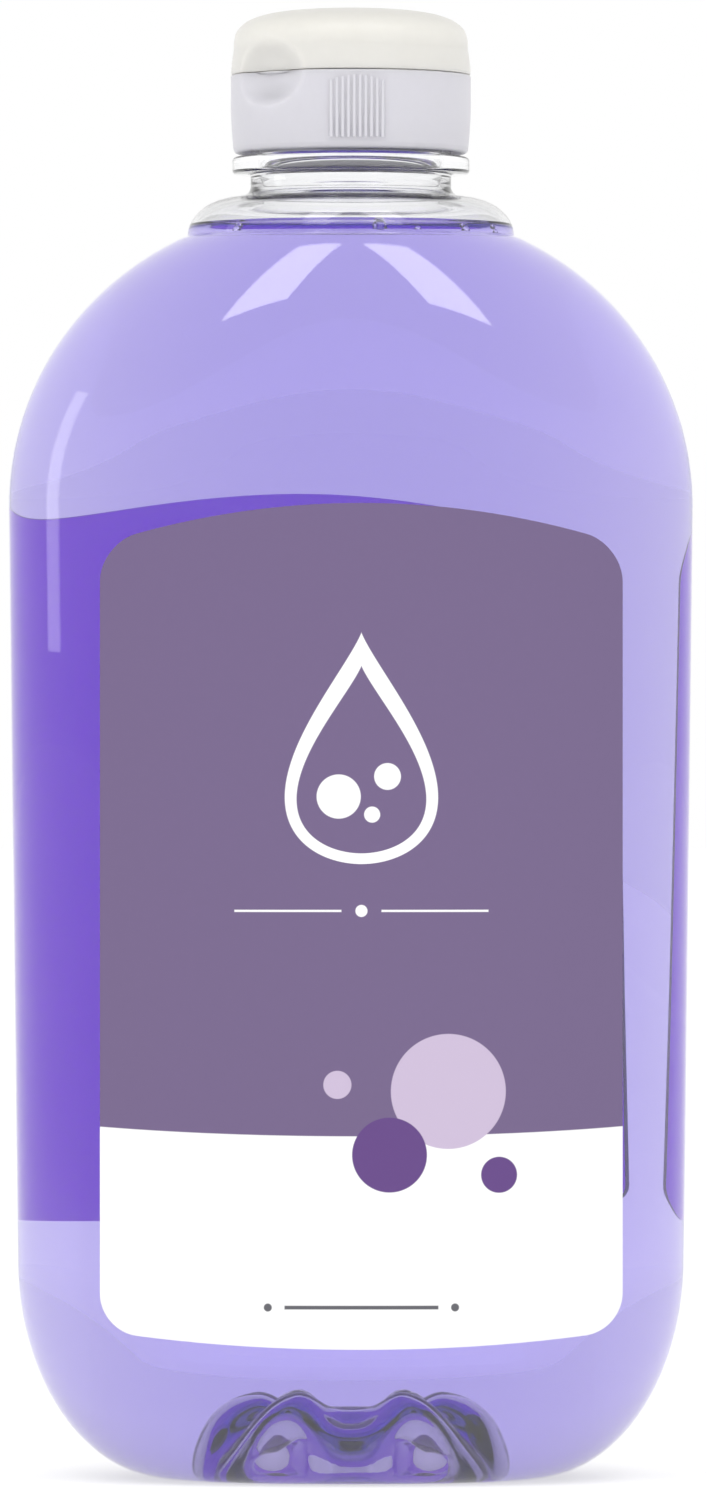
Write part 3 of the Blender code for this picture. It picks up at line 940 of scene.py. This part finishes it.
def rib_tree():
    """Geometry nodes: patches of upright ribs round a wall."""
    tree = bpy.data.node_groups.new("grip_ribs", "GeometryNodeTree")
    face = tree.interface
    face.new_socket("Geometry", in_out="INPUT", socket_type="NodeSocketGeometry")
    face.new_socket("Ribs", in_out="INPUT", socket_type="NodeSocketInt")
    face.new_socket("Patches", in_out="INPUT", socket_type="NodeSocketInt")
    for name in ("Pitch", "Rib Radius", "Rib Height", "Wall Radius", "Foot", "First Turn"):
        face.new_socket(name, in_out="INPUT", socket_type="NodeSocketFloat")
    face.new_socket("Finish", in_out="INPUT", socket_type="NodeSocketMaterial")
    face.new_socket("Geometry", in_out="OUTPUT", socket_type="NodeSocketGeometry")
    kit = Kit(tree)
    given = kit.node("NodeGroupInput").outputs
    ribs, patches, pitch = (Value(kit, given[name]) for name in ("Ribs", "Patches", "Pitch"))
    radius, height = Value(kit, given["Rib Radius"]), Value(kit, given["Rib Height"])
    wall, foot = Value(kit, given["Wall Radius"]), Value(kit, given["Foot"])
    index = kit.value("GeometryNodeInputIndex")
    patch = (index / ribs).math("FLOOR")
    place = index - patch * ribs - (ribs - 1) * 0.5
    turn = patch * math.tau / patches + place * pitch / wall + Value(kit, given["First Turn"])
    off_middle = place / (ribs * 0.5)
    share = 1 - off_middle * off_middle * 0.1
    spot = kit.node("ShaderNodeCombineXYZ", inputs={"X": turn.math("COSINE") * wall,
                                                    "Y": turn.math("SINE") * wall,
                                                    "Z": foot + height * share * 0.5})
    points = kit.node("GeometryNodePoints", inputs={"Count": ribs * patches,
                                                    "Position": spot.outputs[0]})
    rod = kit.node("GeometryNodeMeshCylinder", inputs={"Vertices": 12, "Radius": radius, "Depth": 1.0})
    stretch = kit.node("ShaderNodeCombineXYZ", inputs={"X": 1.0, "Y": 1.0, "Z": height * share})
    copies = kit.node("GeometryNodeInstanceOnPoints", inputs={"Points": points.outputs[0],
                                                              "Instance": rod.outputs[0],
                                                              "Scale": stretch.outputs[0]})
    solid = kit.node("GeometryNodeRealizeInstances", inputs={"Geometry": copies.outputs[0]})
    coat = kit.node("GeometryNodeSetMaterial", inputs={"Geometry": solid.outputs[0],
                                                       "Material": given["Finish"]})
    kit.node("NodeGroupOutput", inputs={"Geometry": coat.outputs[0]})
    return tree


def rib_patches(settings, material):
    mesh = bpy.data.meshes.new("rib_seed")
    seed = bpy.data.objects.new("rib_seed", mesh)
    bpy.context.scene.collection.objects.link(seed)
    modifier = seed.modifiers.new("Ribs", "NODES")
    modifier.node_group = rib_tree()
    values = {"Ribs": settings.rib_count, "Patches": settings.rib_patches, "Pitch": settings.rib_pitch,
              "Rib Radius": settings.rib_radius, "Rib Height": settings.rib_height,
              "Wall Radius": CAP_HIGH.x - 0.17 * MM, "Foot": CAP_LOW.z + 1.6 * MM,
              "First Turn": math.radians(-87.0), "Finish": material}
    for item in modifier.node_group.interface.items_tree:
        if item.in_out == "INPUT" and item.name in values:
            modifier[item.identifier] = values[item.name]
    graph = bpy.context.evaluated_depsgraph_get()
    baked = bpy.data.meshes.new_from_object(seed.evaluated_get(graph))
    bpy.data.objects.remove(seed, do_unlink=True)
    baked.name = "grip_ribs"
    made = bpy.data.objects.new("grip_ribs", baked)
    bpy.context.scene.collection.objects.link(made)
    baked.shade_smooth()
    baked.set_sharp_from_angle(angle=math.radians(40))
    return made


class REFILL_OT_washer(bpy.types.Operator):
    """Foam finish for the sealing washer"""
    bl_idname = "refill.washer"
    bl_label = "Washer"

    def execute(self, context):
        finish = Finish("washer_foam", Roughness=0.8)
        cells = finish.noise(2500.0, 2.0)
        shade = finish.mix(cells, (0.78, 0.78, 0.75), (0.88, 0.88, 0.86))
        finish.feed(finish.shader.inputs["Base Color"], shade)
        finish.bump(cells, 0.3, 0.0001)
        mesh = frame["nodes"]["cap_washer"].data
        mesh.materials.clear()
        mesh.materials.append(finish.material)
        return {"FINISHED"}


# ---------------------------------------------------------------- stage
class REFILL_OT_stage(bpy.types.Operator):
    """Pale table, light tent, two soft strips and the camera"""
    bl_idname = "refill.stage"
    bl_label = "Stage"

    def execute(self, context):
        settings = context.scene.refill_stage
        context.scene.view_settings.view_transform = "Standard"
        self.table()
        self.tent(settings)
        for turn in (-28.0, 32.0):
            self.strip("overhead_strip", turn, 52.0, (0.30, 0.60), settings.strip_power, 180 * MM)
        self.strip("side_panel", -93.0, 0.0, (0.20, 0.50), settings.side_power, 375 * MM)
        self.camera(settings)
        return {"FINISHED"}

    def table(self):
        """White, and lit from beneath as a light table, with a painted pool of stronger glow under the
        bottle.
        """
        shape = bmesh.new()
        bmesh.ops.create_circle(shape, cap_ends=True, segments=64, radius=12.0)
        finish = Finish("table_white", Base_Color=(0.8, 0.8, 0.8, 1.0), Roughness=0.6,
                        Specular_IOR_Level=0.2, Emission_Color=(1.0, 1.0, 1.0, 1.0))
        (x, y, z), vector = finish.place()
        # Painted light: the glow is 0.6 within 3 cm of the axis and falls to 0.47 by 6 cm, a pool that
        # lightens the bottle's base
        away = ((x * x + y * y) ** 0.5 - 0.03) / 0.03
        finish.feed(finish.shader.inputs["Emission Strength"], away.clamped() * -0.13 + 0.6)
        piece("table", shape, finish.material)

    def tent(self, settings):
        world = bpy.data.worlds.new("light_tent")
        bpy.context.scene.world = world
        world.use_nodes = True
        kit = Kit(world.node_tree)
        direction = kit.node("ShaderNodeTexCoord").outputs["Generated"]
        up = kit.value("ShaderNodeSeparateXYZ", inputs={"Vector": direction}, output=2)
        overhead = (up - 0.17) / 0.7
        brightness = (1 - overhead.clamped() * (1 - settings.overhead)) * settings.world
        background = world.node_tree.nodes["Background"]
        kit.feed(background.inputs["Strength"], brightness)
        background.inputs["Color"].default_value = (1.0, 1.0, 1.0, 1.0)

    def strip(self, name, turn, elevation, size, power, height):
        """A soft lamp 1 m from the bottle's axis, turned to face it."""
        lamp = bpy.data.lights.new(name, "AREA")
        lamp.shape = "RECTANGLE"
        lamp.size, lamp.size_y = size
        lamp.energy = power
        made = bpy.data.objects.new(name, lamp)
        across, rise = math.radians(turn), math.radians(elevation)
        place = Vector((math.sin(across) * math.cos(rise), -math.cos(across) * math.cos(rise),
                        math.sin(rise)))
        made.location = place + Vector((0, 0, height))
        made.rotation_euler = (-place).to_track_quat("-Z", "Y").to_euler()
        bpy.context.scene.collection.objects.link(made)

    def camera(self, settings):
        lens = bpy.data.cameras.new("camera")
        lens.sensor_fit = "VERTICAL"
        lens.sensor_height = 24.0
        lens.lens = 178.4
        lens.clip_start = 0.05
        made = bpy.data.objects.new("camera", lens)
        made.location = (0.4 * MM, -settings.camera_distance, settings.camera_height)
        made.rotation_euler = (math.radians(90.05), 0.0, 0.0)
        bpy.context.scene.collection.objects.link(made)
        bpy.context.scene.camera = made


OPERATORS = (REFILL_OT_stage, REFILL_OT_bottle, REFILL_OT_soap, REFILL_OT_labels, REFILL_OT_cap,
             REFILL_OT_lid, REFILL_OT_washer)


class REFILL_PT_panel(bpy.types.Panel):
    """The bottle's pieces"""
    bl_idname = "REFILL_PT_panel"
    bl_label = "Refill bottle"
    bl_space_type = "VIEW_3D"
    bl_region_type = "UI"
    bl_category = "Refill bottle"

    def draw(self, context):
        for name in SETTINGS:
            group = getattr(context.scene, name)
            box = self.layout.box()
            for key in group.__annotations__:
                box.prop(group, key)
        for operator in OPERATORS:
            self.layout.operator(operator.bl_idname)


def register():
    for name, group in SETTINGS.items():
        bpy.utils.register_class(group)
        setattr(bpy.types.Scene, name, PointerProperty(type=group))
    for kind in (*OPERATORS, REFILL_PT_panel):
        bpy.utils.register_class(kind)


def unregister():
    for kind in (REFILL_PT_panel, *reversed(OPERATORS)):
        bpy.utils.unregister_class(kind)
    for name, group in SETTINGS.items():
        delattr(bpy.types.Scene, name)
        bpy.utils.unregister_class(group)


def main():
    register()
    bpy.ops.refill.stage()
    bpy.ops.refill.bottle()
    bpy.ops.refill.soap()
    bpy.ops.refill.labels()
    bpy.ops.refill.cap()
    bpy.ops.refill.lid()
    bpy.ops.refill.washer()


if __name__ == "__main__":
    main()
